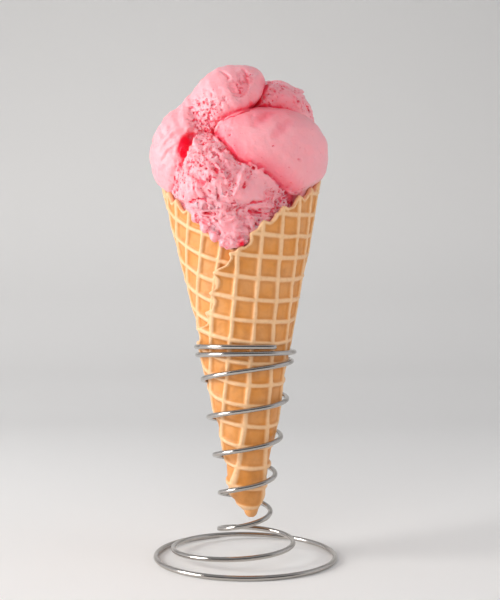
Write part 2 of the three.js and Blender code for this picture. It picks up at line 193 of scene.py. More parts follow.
def makeHolder():
    turns = np.linspace(firstTurn, lastTurn, int((lastTurn - firstTurn) * wire["stepsPerTurn"]))
    walked = np.r_[0, np.cumsum(np.linalg.norm(np.diff(wirePath(turns), axis=0), axis=1))]
    # rings close together at both ends, where the cut wire is rounded
    endAt, endShare = np.array(wire["endRounding"]).T
    inner = walked[(walked > wire["endLength"]) & (walked < walked[-1] - wire["endLength"])]
    at = np.r_[endAt, inner, walked[-1] - endAt[::-1]]
    share = np.r_[endShare, np.ones(len(inner)), endShare[::-1]]
    middle = wirePath(np.interp(at, walked, turns))
    tangent = np.gradient(middle, at, axis=0)
    tangent /= np.linalg.norm(tangent, axis=1, keepdims=True)
    across = -np.cross(tangent, [0, 0, 1])
    across /= np.linalg.norm(across, axis=1, keepdims=True)
    upright = np.cross(tangent, across)
    sides, count = wire["sides"], len(at)
    turned = np.arange(sides)[None, :, None] * 2 * np.pi / sides
    radius = wire["diameter"] / 2 * share[:, None, None]
    rings = middle[:, None] + radius * (
        np.cos(turned) * across[:, None] + np.sin(turned) * upright[:, None])
    points = np.vstack([rings.reshape(-1, 3), middle[0], middle[-1]])
    faces = tubeFaces(0, count, sides)
    start, end, lastRing = count * sides, count * sides + 1, (count - 1) * sides
    for j in range(sides):
        k = (j + 1) % sides
        faces.append((start, k, j))
        faces.append((end, lastRing + j, lastRing + k))
    return makePiece("wireHolder", points, faces)


# the rolled waffle cone
cone = {
    "tipHeight": 17.0, "foot": (2.1, 0.7), "lean": -0.034,
    "sheetDiameter": 161.2, "sheetPerTurn": 84, "highSide": 174,
    "sheetStart": 8,  # nearer to the point there is only the shut tip
    "tipDrop": 4.8, "slope": math.cos(math.radians(13)), "tipRounding": 10, "lowest": 0.2,
    "tipRadius": 3.0, "taper": 0.2135, "waist": (0.6, 77, 22),
    "bulge": {"depth": 2.0, "height": 13, "spread": 9, "angle": -95, "width": 60},
    "turnPitch": 1.5, "hiddenOverlap": 30, "thickness": 1.45,
    "ribPitch": 9.02, "ribHalfWidth": 1.3, "ribHeight": 1.2, "ribAngle": 30, "ribPhase": (0.2, 2.1),
    "ribFlank": (0.2, 1.2), "innerRibHeight": 0.3, "pocketDome": 0.12,
    # knobs where a rib meets the edge: height, share of the flattening added to it, rounding
    "ribKnob": (5.2, 0.3, 0.06),
    # where the sheet's round outline is flattened: depth, along, angle, spread
    "flattening": [(2.4, 121, -3.5, 8), (8.6, 97, -46, 15)],
    # the free edge lifts off: height, more at the rim, width of the lifted strip, and from where
    # to where it does so, along the sheet, round the cone and at the rim
    "edgeCurl": (0.6, 0.8, 4.5), "flapAlong": (30, 50), "flapAngle": (-10, 30), "flapRim": (84, 100),
    # the cut edge: how far it falls away, over what width, and how far its middle bulges out
    "edgeFall": (0.45, 0.9), "edgeBulge": 0.35,
    # uneven batter: size, share of the rib's width, share of its height
    "ribWobble": (5.5, 0.22, 0.12),
    "ribBend": (8, 0.35),  # size, amount
    "ragged": (2.6, 31, 0.35),  # size, seed, amount
    "skin": [(1.1, 3, 0.1), (3.1, 4, 0.14), (16, 5, 0.25)],
    "gridStep": 0.56, "gridSpan": ((-22, 152), (-42, 132)),
    # the shut tip: height, radius
    "tipPlug": [(0, 0.9), (0.12, 1.3), (0.45, 1.85), (1.3, 2.5), (2.6, 3.0), (4.5, 3.4), (8, 4.0)],
    "plugSides": 56, "plugRings": 26, "plugTone": 0.45,
    # how pale the cut edge is, and from where to where the paleness fades
    "bakedEdge": (0.85, 0.5, 1.7),
    "ribShade": (1.25, 0.4),  # painted shade beside a rib, in the toast-brown colour: place and width, in half widths of the rib
    "rib": (0.86, 0.53, 0.285, 1),
    "pocket": (0.71, 0.275, 0.05, 1),
    # the toast-brown of the batter, also used to paint shade beside the ribs
    "toastAndShade": (0.50, 0.19, 0.045, 1),
    "roughness": 0.46, "shine": 0.45,
}
sheetShare = cone["sheetPerTurn"] / 360


def coneRadius(height):
    depth, middle, spread = cone["waist"]
    return cone["tipRadius"] + cone["taper"] * height - depth * bell(height - middle, spread)


def bulgeAt(height, angle):
    bulge = cone["bulge"]
    turned = np.mod(angle - bulge["angle"] + 180, 360) - 180
    return bulge["depth"] * bell(height - bulge["height"], bulge["spread"]) * bell(turned, bulge["width"])


def rolledPoint(along, angle, level):
    height = np.maximum(along * cone["slope"] - cone["tipDrop"], cone["lowest"])
    roundOff = 1 - np.maximum(1 - height / cone["tipRounding"], 0) ** 2
    wrapOffset = cone["turnPitch"] * (cone["highSide"] - angle) / 360
    radius = roundOff * (coneRadius(height) + wrapOffset + level) + bulgeAt(height, angle)
    x, y = radialAt(angle)
    return np.stack([
        cone["foot"][0] + cone["lean"] * height + radius * x,
        cone["foot"][1] + radius * y,
        cone["tipHeight"] + height], axis=-1)


def ribDistance(at, family):
    ribsAway = (at - cone["ribPhase"][family]) / cone["ribPitch"]
    return np.abs(ribsAway - np.round(ribsAway)) * cone["ribPitch"]


def turnOnSheet(angle):  # degrees round the cone, as radians on the flat sheet
    return np.radians((angle - cone["ribAngle"]) * sheetShare)


def angleRound(u, w):  # a place on the flat sheet, as degrees round the cone
    return cone["ribAngle"] + np.degrees(np.arctan2(w, u)) / sheetShare


sheetRadius = cone["sheetDiameter"] / 2
centreU = sheetRadius * np.cos(turnOnSheet(cone["highSide"]))
centreW = sheetRadius * np.sin(turnOnSheet(cone["highSide"]))


def knobShape(distance):  # near 1 on a rib's middle line, 0 halfway to the next rib
    return (1 - np.sqrt((2 * distance / cone["ribPitch"]) ** 2 + cone["ribKnob"][2])) ** 2


def insideSheet(u, w):  # distance in from the sheet's outline
    flattened = 0
    for depth, along, angle, spread in cone["flattening"]:
        turn = turnOnSheet(angle)
        off = np.hypot(u - along * np.cos(turn), w - along * np.sin(turn))
        flattened = flattened + depth * bell(off, spread)
    # the edge stands out where a rib runs across it
    outU, outW = u - centreU, w - centreW
    out = np.hypot(outU, outW) + 1e-3
    knob = (cone["ribKnob"][0] + cone["ribKnob"][1] * flattened) * np.maximum(
        np.abs(outW / out) * knobShape(ribDistance(u, 0)),
        np.abs(outU / out) * knobShape(ribDistance(w, 1)))
    size, seed, amount = cone["ragged"]
    ragged = amount * noiseAt(np.stack([u, w, 0 * u], 1), size, seed)
    disc = sheetRadius + knob + ragged - flattened - out
    along = np.hypot(u, w)
    freeEdge = cone["highSide"] - np.degrees(
        np.arccos(np.minimum(along / cone["sheetDiameter"], 1))) / sheetShare
    wrapEnd = freeEdge + 360 + cone["hiddenOverlap"]
    hidden = np.radians((wrapEnd - angleRound(u, w)) * sheetShare) * along
    return np.minimum(np.minimum(disc, hidden), along - cone["sheetStart"])


def sheetGrid():  # the flat sheet: its points, how far in they lie, its faces and border edges
    step = cone["gridStep"]
    us, ws = [np.arange(low, high, step) for low, high in cone["gridSpan"]]
    u, w = np.meshgrid(us, ws, indexing="ij")
    inside = insideSheet(u.ravel(), w.ravel()).reshape(u.shape)
    du, dw = np.gradient(inside, step)
    # points next to the outline move onto it
    snap = 0.55 * step
    pull = np.where(np.abs(inside) < snap, inside / np.maximum(du ** 2 + dw ** 2, 0.25), 0)
    u, w = u - pull * du, w - pull * dw
    kept = inside > -snap
    number = np.full(u.shape, -1)
    number[kept] = np.arange(kept.sum())
    corners = [number[:-1, :-1], number[1:, :-1], number[1:, 1:], number[:-1, 1:]]
    corners = np.stack(corners, -1).reshape(-1, 4)
    missing = (corners < 0).sum(1)
    faces = corners[missing == 0].tolist()
    faces += [[c for c in row if c >= 0] for row in corners[missing == 1].tolist()]
    edges = {}
    for face in faces:
        for a, b in zip(face, face[1:] + face[:1]):
            if (b, a) in edges:
                del edges[(b, a)]
            else:
                edges[(a, b)] = True
    return u[kept], w[kept], np.maximum(inside[kept], 0), faces, list(edges)


def tipRings():  # rings of points round the tip, which is baked shut inside the first wraps
    profile = np.array(cone["tipPlug"])
    heights = np.r_[0, 0.02, np.linspace(0.1, profile[-1, 0], cone["plugRings"])]
    radii = np.interp(heights, profile[:, 0], profile[:, 1])
    radii = np.convolve(np.pad(radii, 1, "edge"), [0.25, 0.5, 0.25], "valid")
    radii[0] = 0.02
    sides = cone["plugSides"]
    x, y = radialAt(np.arange(sides) * 360 / sides)
    return [np.stack([
        cone["foot"][0] + cone["lean"] * height + radius * x,
        cone["foot"][1] + radius * y,
        np.full(sides, cone["tipHeight"] + height)], 1) for height, radius in zip(heights, radii)]


def makeCone():
    u, w, inside, sheetFaces, edges = sheetGrid()
    grid = np.stack([u, w, 0 * u], 1)
    along, angle = np.hypot(u, w), angleRound(u, w)

    # ribs: rounded ridges, uneven in height and width as batter leaves them
    size, widthShare, heightShare = cone["ribWobble"]
    wobble = noiseAt(grid, size, 7)
    half = cone["ribHalfWidth"] * (1 + widthShare * wobble)
    size, bend = cone["ribBend"]
    bentU, bentW = bend * noiseAt(grid, size, 8), bend * noiseAt(grid, size, 9)
    nearest = np.minimum(ribDistance(u + bentU, 0), ribDistance(w + bentW, 1)) / half
    rib = 1 - smoothStep(*cone["ribFlank"], nearest)
    # the sheet's edge is baked thick and pale
    tone, fadeStart, fadeEnd = cone["bakedEdge"]
    rib = np.maximum(rib, tone * (1 - smoothStep(fadeStart, fadeEnd, inside)))
    dome = cone["pocketDome"] * nearest * half / (cone["ribPitch"] / 2)
    rough = sum(amount * noiseAt(grid, size, seed) for size, seed, amount in cone["skin"])
    fall, fallWidth = cone["edgeFall"]
    edgeFall = fall * (1 - np.clip(inside / fallWidth, 0, 1)) ** 2
    # the free edge curls away from the wrap under it
    toEdge = sheetRadius - np.hypot(u - centreU, w - centreW)
    onFlap = smoothStep(*cone["flapAlong"], along) * (1 - smoothStep(*cone["flapAngle"], angle))
    lift, rimLift, strip = cone["edgeCurl"]
    curl = lift + rimLift * smoothStep(*cone["flapRim"], along)
    curl *= onFlap * bell(np.maximum(toEdge, 0), strip)
    raised = cone["ribHeight"] * rib * (1 + heightShare * wobble)
    outerLevel = curl + raised + dome + rough - edgeFall
    innerLevel = curl - cone["thickness"] - cone["innerRibHeight"] * rib + edgeFall
    outer = rolledPoint(along, angle, outerLevel)
    inner = rolledPoint(along, angle, innerLevel)

    # the cut edge: a middle row that bulges out between the two faces
    count = len(u)
    border = sorted({a for edge in edges for a in edge})
    rim = {a: 2 * count + i for i, a in enumerate(border)}
    away = np.stack([u[border] - centreU, w[border] - centreW], 1)
    away *= cone["edgeBulge"] / np.linalg.norm(away, axis=1, keepdims=True)
    rimU, rimW = u[border] + away[:, 0], w[border] + away[:, 1]
    middle = rolledPoint(np.hypot(rimU, rimW), angleRound(rimU, rimW),
                         (outerLevel[border] + innerLevel[border]) / 2)
    faces = [face[::-1] for face in sheetFaces]
    faces += [[a + count for a in face] for face in sheetFaces]
    for a, b in edges:
        faces.append([a, b, rim[b], rim[a]])
        faces.append([rim[a], rim[b], b + count, a + count])

    plug, sides = tipRings(), cone["plugSides"]
    first = 2 * count + len(border)
    last = first + (len(plug) - 1) * sides
    faces += tubeFaces(first, len(plug), sides)
    faces.append([first + j for j in range(sides)][::-1])
    faces.append([last + j for j in range(sides)])
    piece = makePiece("waffleCone", np.vstack([outer, inner, middle] + plug), faces)
    tone = np.full(len(plug) * sides, cone["plugTone"])
    addNumbers(piece, "rib", np.r_[rib, rib * 0.5, rib[border], tone])
    # painted shade beside each rib, as a number for each point, for the material
    place, width = cone["ribShade"]
    addNumbers(piece, "ribShade", bell(np.r_[nearest, nearest, nearest[border], 0 * tone] - place, width))
    return piece


# the ice cream
cream = {
    "voxel": 0.46, "quickVoxel": 0.828,
    "low": (-43, -40), "high": (40, 38, 214),  # the block that it is worked out in
    "bottom": 124,  # the filling is cut off here, well down inside the cone
    "filling": (147, 1.2),  # its top above the cone's tip, and how far it stays inside the wall
    "reliefReach": 3.6, "cutRounding": 2,
    # the rim: gap under and beside it, how far the ice cream widens out over it for each mm up
    "rimGap": 0.4, "overhang": 1.3,
    # where the rim's knobs stand clear of the ice cream: angle round the cone, spread, height
    "bareRim": [(-60, 26, 2.6), (58, 24, 2.4)],
    # how two scoops meet: how widely they run together, and how deep a crease is left, which is also painted
    # redder as shade
    "joins": {
        ("scoop_front", "scoop_top"): (8, 0.0), ("scoop_right", "scoop_top"): (1.5, 0.9),
        ("scoop_front", "scoop_right"): (3, 1.2), ("scoop_front", "scoop_left"): (4, 0.9),
        ("scoop_left", "scoop_top"): (6, 0.3), ("scoop_right", "scoop_back"): (3, 0.9),
        ("scoop_back", "scoop_top"): (1.2, 1.5), ("scoop_left", "scoop_back"): (4, 0.9),
    },
    "otherJoins": (2.0, 0.5), "creaseWidth": 0.9,
    # painted shade: a scoop is painted redder where it curls under beside another: reach, amount
    "undersideShade": {
        ("scoop_right", "scoop_front"): (5.5, 1.5), ("scoop_top", "scoop_right"): (3.0, 0.8),
        ("scoop_top", "scoop_back"): (4.0, 1.0), ("scoop_right", "scoop_back"): (10.0, 0.9),
        ("scoop_back", "scoop_right"): (3.0, 0.6), ("scoop_right", "scoop_top"): (9.0, 0.8),
    },
    # gaps left beside the cone's rim: angle round the cone, half width, depth
    "gaps": [(-66, 5, 2.0), (-50, 4, 2.2), (27, 3, 2.2), (34, 2.5, 2.2), (49, 3.5, 2.6)],
    "gapHeight": 2.5,
    # what hangs over the rim: where it may be, reach and share of its relief, width of its join
    "hanging": {"below": 160, "before": -10, "reach": 4, "relief": 0.5, "join": 2},
    # a stroke's reach, how it wanders (size, seed, amount), its soft edge and where it ends below
    "stroke": {"reach": 5, "wander": (2.2, 80, 0.5), "edge": (0.2, 1.5), "end": (4, 5)},
    # how sheltered a point is, for the painted shade in hollows: distances outside it, and their weights
    "shelter": [(0.8, 0.3), (1.6, 0.35), (3.2, 0.35)],
    # painted shade: deep red laid in the deepest crevices and hollows: place, reach, amount
    "creviceShade": [
        (-24.2, -22, 174.4, 3.6, 1.3), (-25.3, -22.8, 170.4, 3.4, 1.2), (-26.9, -22.5, 164.5, 2.2, 0.8),
        (-28.5, -19.6, 157.6, 2, 0.6), (2.4, -21.5, 190.2, 2.2, 0.6), (-1.2, -30.4, 131, 2.5, 1),
        (-21, -20, 147.6, 2, 0.6),
    ],
    # painted shade (positive, deeper pink) or painted light (negative, paler), and a few small redder spots:
    # place, reach, amount
    "lightShadeAndTone": [
        (13, -20, 187, 13, 0.85), (20, -6, 197, 12, 0.5), (-7, -33, 158, 5, 0.35),
        (-6, -30, 138, 11, -1.3), (-18, -27, 152, 9, -0.8), (-37, -12, 174, 15, -0.8),
        (-17.2, -30.5, 156.5, 2.4, 1.2), (-8.5, -33, 163, 3, 0.6),
    ],
    # pale is the open surface; pink and deep paint shade in sheltered spots, pits and furrows, and pale also
    # paints highlight on raised strings
    "pale": (0.925, 0.4, 0.445, 1),
    "pink": (0.87, 0.165, 0.235, 1),
    "deep": (0.88, 0.06, 0.115, 1),
    # red paints the deepest shade, in crevices and hollows
    "red": (0.95, 0.004, 0.045, 1),
    "roughness": 0.42,
    "scatterShare": 0.85, "scatterColour": (1, 0.2, 0.18), "scatterDepth": 0.0045,
    # spots where the surface is torn (positive) or wiped smooth (negative): place, reach, amount
    "spots": [
        (4.9, -31.5, 157.5, 4.5, -0.9), (2.4, -31.5, 150.3, 4, -0.8), (-1.5, -33.5, 151, 3.5, -0.7),
        (6.5, -29.5, 151.5, 3, -0.7), (-18.5, -30, 151, 4.5, -0.6), (-23.5, -18, 182, 6, -0.9),
        (16.8, -3.8, 195.2, 5, -0.3), (-27.9, -23.7, 161.8, 6, 0.4),
        (20.1, -20.6, 151.6, 5, 0.9),
    ],
    # spots full of small pits: place, reach, amount
    "pitted": [
        (-14, -23.3, 187.5, 6.5, 1.1), (-19.5, -19, 188, 5.5, 1), (-16.9, -21.6, 182, 5.5, 1.1),
        (-2.9, -23.5, 197, 5, 1), (1, -19, 203.5, 3.5, 0.8), (-8, -27, 184.5, 3, -0.8),
        (-12, -31, 166, 8, 0.4),
    ],
    # shallow patches that a flake has left: place, reach, depth
    "patches": [
        (-3, -23.2, 197.2, 4.6, 0.45), (-0.6, -20.2, 202.2, 3.4, 0.4), (8, -27.5, 151, 3, 0.4),
    ],
    # the relief's layers: size and seed
    "layers": {
        "warp": (6.5, 40), "patch": (8, 50), "swell": (12, 51), "ripple": (6, 52), "clots": (4.6, 53),
        "grains": (2.6, 54), "crumbs": (1.5, 55), "grit": (0.9, 56), "holes": (2.4, 57), "skin": (2.4, 58),
        "plates": (6, 59), "pores": (1.3, 60),
    },
    "plateFade": (148, 158),  # plates grow shallower between these heights
}
# strokes left by the scoop: points with the stroke's half width and depth there; a
# negative depth is a raised string or lip. The depth also paints the colour: redder as painted
# shade in a carved line, paler as painted highlight on a raised string or lip
strokes = [
    # the hollow between the left and front scoops, painted deep red as shade
    [(-22.8, -21.7, 178.4, 1.9, 4), (-24.2, -24, 174.4, 2.1, 5), (-25.3, -25, 170.4, 1.6, 4.5),
     (-26.2, -24.6, 166.5, 1, 3), (-27.5, -23.4, 162.7, 0.8, 2.4), (-29.5, -19.2, 157.6, 0.8, 2)],
    # curls and grooves on the top scoop
    [(-11.5, -17, 206.3, 0.5, 0.2), (-9.2, -19, 204.6, 0.6, 0.7), (-7.3, -21, 202.3, 0.6, 0.9),
     (-7.6, -22.2, 200.3, 0.5, 0.3)],
    [(-1.2, -16.6, 206.3, 0.6, 0.6), (0.9, -19.2, 203.3, 0.7, 1.1)],
    [(-0.6, -19.5, 202.9, 0.5, 0.4), (0.4, -20.4, 201.4, 0.6, 1), (1.5, -21.3, 199.3, 0.5, 0.4)],
    # under the top scoop's lower edge
    [(4.2, -21, 189.6, 0.6, 1.6), (2.2, -22.6, 188.4, 1.1, 3), (0.2, -24.8, 187, 0.9, 2.4),
     (-2.5, -26.4, 185.4, 0.5, 1.2), (-5.7, -26.8, 184.2, 0.5, 1.2), (-9, -25.6, 183.4, 0.5, 1.2),
     (-13, -23, 182.8, 0.5, 0.8)],
    # cracks low on the front scoop
    [(-2, -32.2, 146.1, 0.5, 1.3), (2.4, -31, 147.9, 0.5, 1.6), (6.4, -28.9, 148.6, 0.5, 1.6),
     (9.7, -27.2, 150.5, 0.5, 1.2)],
    [(1.6, -29.7, 144.5, 0.7, 1.8), (4, -27.8, 143.6, 0.7, 2), (6.5, -26.6, 143.3, 0.6, 1.5)],
    [(-0.8, -26.5, 136.3, 0.6, 1.8), (4, -26.2, 138, 0.6, 1.8), (9.8, -24.8, 140.6, 0.6, 1.4)],
    # soft marks drawn across the left scoop
    [(-28.4, -19.2, 183.6, 1.5, 0.6), (-32.6, -18.2, 180.9, 1.6, 0.9), (-36.1, -16.3, 177.1, 1.2, 0.4)],
    [(-25.7, -21, 179.4, 1, 0.7), (-29.9, -20.2, 177.9, 1.1, 0.8), (-33.4, -18.6, 174.9, 1.1, 0.7),
     (-36, -16.7, 171.5, 0.9, 0.3)],
    [(-29, -21.5, 173, 0.9, 0.5), (-32.4, -19.5, 170.9, 1, 0.7), (-34.7, -17.3, 168, 0.8, 0.3)],
    # dents and pin holes in the right scoop
    [(9.8, -26.2, 186, 2.2, 0.4), (6.5, -29.3, 182.8, 2.4, 0.7), (4, -30.7, 180, 2, 0.3)],
    [(17.8, -28.4, 181.4, 2, 0.3), (14.5, -30.9, 178.3, 2.2, 0.5), (12, -32.1, 174.8, 2, 0.3)],
    [(21.8, -30, 165.5, 0.4, 0.8), (21.3, -30.2, 165.6, 0.4, 0.8)],
    [(-5.7, -28.4, 175.6, 0.4, 0.9), (-5.9, -28.4, 175.4, 0.4, 0.9)],
    [(-7.8, -26.8, 174.8, 0.4, 0.9), (-8, -26.8, 174.7, 0.4, 0.9)],
    # torn slits and hollows in the front scoop
    [(-18.4, -28.5, 150.9, 0.5, 1.6), (-16.4, -30, 149.7, 0.5, 1.8)],
    [(-22.8, -25.5, 149.2, 0.6, 1.6), (-20.8, -27.5, 150.1, 0.7, 1.8)],
    [(-16.4, -28.5, 144.2, 0.6, 2.8), (-13.2, -30, 143, 0.6, 2.8)],
    [(-18, -30, 157.3, 1, 1.6), (-16.4, -31, 155.9, 1.2, 1.8)],
    [(-9.8, -32, 170.6, 0.9, 1.4), (-9.2, -32.2, 169.6, 0.9, 1.4)],
    [(-12.4, -33, 160.6, 0.9, 1.4), (-11.2, -33.4, 159.4, 0.9, 1.6)],
    # holes beside the string, painted darker as shade, and grooves in the pale streaks on the left
    [(3.2, -31.8, 162.2, 0.6, 1.6), (2.3, -32.2, 161, 0.6, 1.6)],
    [(-0.5, -33.5, 155.6, 0.6, 1.7), (-0.9, -33.7, 153.9, 0.6, 1.7)],
    [(-6.2, -34.5, 158.8, 0.8, 1), (-7.3, -34.6, 157.6, 0.8, 1.2)],
    [(-20.2, -29, 156.5, 0.6, 0.7), (-19.2, -29.8, 151.8, 0.6, 1)],
    [(-17.2, -31.5, 153.5, 0.6, 0.5), (-15.6, -31.8, 149, 0.6, 0.9)],
    # a string, lips and ridges that stand proud, painted paler as highlight
    [(-0.4, -32.6, 162.6, 0.8, -0.9), (-1.4, -33.1, 160, 0.9, -2.2), (-3, -34.3, 155, 0.9, -2),
     (-4.4, -34.6, 150.6, 0.7, -1)],
    [(-10, -25, 182.3, 0.8, -0.9), (-12.2, -24.3, 180.2, 0.9, -1.4), (-14.4, -22.5, 177.9, 0.8, -0.9)],
    [(-25, -9, 197.1, 1.6, -0.3), (-25.8, -12.9, 191.1, 2.2, -0.8), (-25.4, -17.5, 185.4, 2.4, -0.9),
     (-23.9, -19.8, 181, 2.4, -0.9)],
    [(-1.5, -32, 163.8, 1, -0.6), (2, -31.8, 162, 1.1, -1.2), (6.4, -30.3, 159.8, 1.1, -1.4),
     (10.1, -28.6, 157.2, 1.1, -1.4), (14.5, -27, 154.4, 1, -1.2), (19.5, -23.9, 151.2, 0.9, -0.8)],
]
# ice cream hanging over the rim: points with the radius there
drips = [
    # the torn tongue at the notch
    [(-7.5, -26.6, 140, 3.2), (-4, -27.2, 139.8, 3.6), (0, -26.8, 140.8, 3.2)],
    [(-8, -27.8, 135.4, 2.7), (-4.5, -28.3, 135.8, 3.1), (-0.8, -28, 137, 2.6)],
    [(-7.8, -28, 131.7, 2.3), (-4.5, -28.4, 131.8, 2.5), (-1, -28.4, 132.6, 2.2)],
    # flakes along the rim
    [(-22.5, -21.5, 147.5, 2.6), (-18, -24.4, 144, 3), (-13.5, -26.2, 141, 3.2),
     (-8.5, -27, 139.5, 3.2)],
    [(-20.4, -24, 142.6, 2.3), (-18.4, -25, 141.4, 1.2), (-16.4, -26.4, 138.6, 2.6),
     (-14.6, -26.8, 138, 1.3), (-12.6, -27.4, 134.8, 2.6), (-10.8, -27.8, 134.4, 1.4),
     (-9.2, -28, 132.4, 2.4)],
    [(0, -26.4, 134.4, 2.6), (3.4, -26, 138, 2.7), (8.4, -24.2, 141.6, 2.4)],
    [(1.5, -27.5, 142, 3), (2.6, -28.2, 139.2, 1.8)],
]
# each scoop: middle, half sizes, how crumbly, lumps (angle, elevation, spread, height), depth of
# its crags, and a flat cut (place, direction)
scoops = {
    "scoop_front": {
        "centre": (-8, -10.5, 157.5), "half": (23, 25, 23.5), "crumbs": 0.95,
        "lumps": [(3, -48, 16, 4), (70, -5, 26, 5.5), (30, 50, 30, -2), (-50, 42, 22, 4), (22, 24, 20, -2)],
        "crag": 1.1,
    },
    "scoop_right": {
        "centre": (11.2, -9, 172.8), "half": (23.6, 23, 18.6), "crumbs": 0.1,
        "lumps": [(45, -55, 38, 6), (-60, -10, 40, 1.5), (-54, 25, 25, 5), (-32, -14, 24, 3)],
        "crag": 0.3,
    },
    "scoop_left": {
        "centre": (-24.4, -1, 173.7), "half": (17.8, 21, 22), "crumbs": 0.2,
        "lumps": [(-90, 48, 28, -2.5), (-170, 10, 30, 1.5)], "crag": 0.5,
    },
    "scoop_back": {
        "centre": (3.5, 12, 184.5), "half": (24.5, 22, 24.5), "crumbs": 0.8,
        "lumps": [(95, 50, 18, 4), (65, 66, 18, 1.5), (85, 22, 20, 4), (10, 27, 20, 7), (40, 25, 20, 4.5),
                  (150, 48, 25, 2), (-140, -25, 30, 3)],
        "crag": 1.1,
    },
    "scoop_top": {
        "centre": (-6.4, -5, 190.3), "half": (19.8, 20, 20.2), "crumbs": 0.12,
        "lumps": [(-90, 42, 22, -1.2), (60, 58, 22, 2.2), (75, 5, 28, -1.5), (160, 20, 35, 1)],
        "crag": 0.5, "cut": ((4.4, 0, 192.2), (0.772, 0, -0.635)),  # its lower edge lies over the back scoop
    },
}


def scoopsField(p):
    return np.min([scoopField(p, scoop) for scoop in scoops.values()], axis=0)


def cragAt(p):
    x, y, z = p.T
    coarse = np.sin(0.31 * x + 1.3 * np.sin(0.23 * z + 0.4)) * np.sin(0.36 * z - 0.21 * y)
    fine = np.sin(0.74 * x - 0.5 * y + 1.1) * np.sin(0.82 * z + 0.37 * x + 2.0)
    return 0.6 * coarse + 0.4 * fine


def scoopField(p, scoop):  # distance outside one scoop
    off = p - np.array(scoop["centre"], np.float32)
    away = np.maximum(np.linalg.norm(off, axis=1), 1e-3)
    direction = off / away[:, None]
    ball = 1 / np.linalg.norm(direction / np.array(scoop["half"], np.float32), axis=1)
    raised = 0
    for angle, elevation, spread, height in scoop["lumps"]:
        x, y = radialAt(angle)
        flat = math.cos(math.radians(elevation))
        pointing = np.array([x * flat, y * flat, math.sin(math.radians(elevation))], np.float32)
        turned = np.degrees(np.arccos(np.clip(direction @ pointing, -1, 1)))
        raised = raised + height * bell(turned, spread)
    on = np.array(scoop["centre"], np.float32) + direction * ball[:, None]
    field = away - ball - raised - scoop["crag"] * cragAt(on)
    if "cut" in scoop:
        place, normal = np.array(scoop["cut"], np.float32)
        side = (p - place) @ normal
        field = np.maximum(field, side) + softened(np.abs(field - side), cream["cutRounding"])
    return field


def aroundAxis(p):  # height above the cone's tip, and place across the cone's axis
    height = p[:, 2] - cone["tipHeight"]
    return height, p[:, 0] - cone["foot"][0] - cone["lean"] * height, p[:, 1] - cone["foot"][1]


def fillField(p):  # distance outside the filling in the cone's mouth
    height, x, y = aroundAxis(p)
    top, inset = cream["filling"]
    return np.maximum(np.hypot(x, y) - coneRadius(height) + inset, height - top)


def overRim(p):  # distance outside what the cone's rim lets the ice cream fill
    height, x, y = aroundAxis(p)
    angle = np.degrees(np.arctan2(x, -y))
    turned = np.abs(np.mod(angle - cone["highSide"] + 180, 360) - 180)
    rim = cone["sheetDiameter"] * np.cos(np.radians(turned * sheetShare)) * cone["slope"] - cone["tipDrop"]
    over = height - rim - cream["rimGap"]
    for at, spread, clear in cream["bareRim"]:
        over = over - clear * bell(angle - at, spread)
    over = np.maximum(over, 0)
    reach = coneRadius(height) - cone["thickness"] + cream["rimGap"] + cream["overhang"] * over
    for at, width, depth in cream["gaps"]:
        reach = reach - depth * bell(angle - at, width) * bell(over, cream["gapHeight"])
    return np.hypot(x, y) - reach


def surfaceNet(field, low, step):
    # one vertex in each cell that the surface crosses, one quad round each crossed grid edge
    cells = np.array(field.shape) - 1
    size = int(np.prod(cells))
    sums, hits, quads = [np.zeros(size) for _ in range(3)], np.zeros(size), []
    strides = np.array([cells[1] * cells[2], cells[2], 1])
    for axis in range(3):
        a = np.take(field, range(field.shape[axis] - 1), axis=axis)
        b = np.take(field, range(1, field.shape[axis]), axis=axis)
        crossed = np.argwhere((a < 0) != (b < 0))
        one, two = (axis + 1) % 3, (axis + 2) % 3
        ok = (crossed[:, one] > 0) & (crossed[:, two] > 0)
        ok &= (crossed[:, one] < cells[one]) & (crossed[:, two] < cells[two])
        crossed = crossed[ok]
        va, vb = a[tuple(crossed.T)], b[tuple(crossed.T)]
        spot = crossed.astype(float)
        spot[:, axis] += va / (va - vb)
        here = crossed @ strides
        ring = np.stack([here, here - strides[one], here - strides[one] - strides[two],
                         here - strides[two]], 1)
        for k in range(4):
            hits += np.bincount(ring[:, k], minlength=size)
            for i in range(3):
                sums[i] += np.bincount(ring[:, k], spot[:, i], size)
        quads.append(np.where((va < 0)[:, None], ring, ring[:, ::-1]))
    used = np.flatnonzero(hits)
    number = np.full(size, -1)
    number[used] = np.arange(len(used))
    points = np.stack([s[used] / hits[used] for s in sums], 1) * step + low
    return points, number[np.concatenate(quads)]


def mainBody(points, quads):  # without the loose crumbs that would hang in the air
    label = np.arange(len(points))
    settled = False
    while not settled:
        lowest = label[quads].min(1)
        joined = label.copy()
        for corner in quads.T:
            np.minimum.at(joined, corner, lowest)
        joined = joined[joined]
        settled = (joined == label).all()
        label = joined
    kept = label == np.bincount(label).argmax()
    number = np.cumsum(kept) - 1
    return points[kept], number[quads[kept[quads[:, 0]]]]


def slopeOf(p):  # gradient of the scoops' field
    step = 0.2
    value = scoopsField(p)
    moved = [scoopsField(p + step * axis) for axis in np.eye(3, dtype=np.float32)]
    return np.stack([other - value for other in moved], 1) / step


def ontoSurface(p):  # moves points on to the plain scoops
    for _ in range(5):
        slope = slopeOf(p)
        p = p - slope * (scoopsField(p) / (slope ** 2).sum(1))[:, None]
    return p


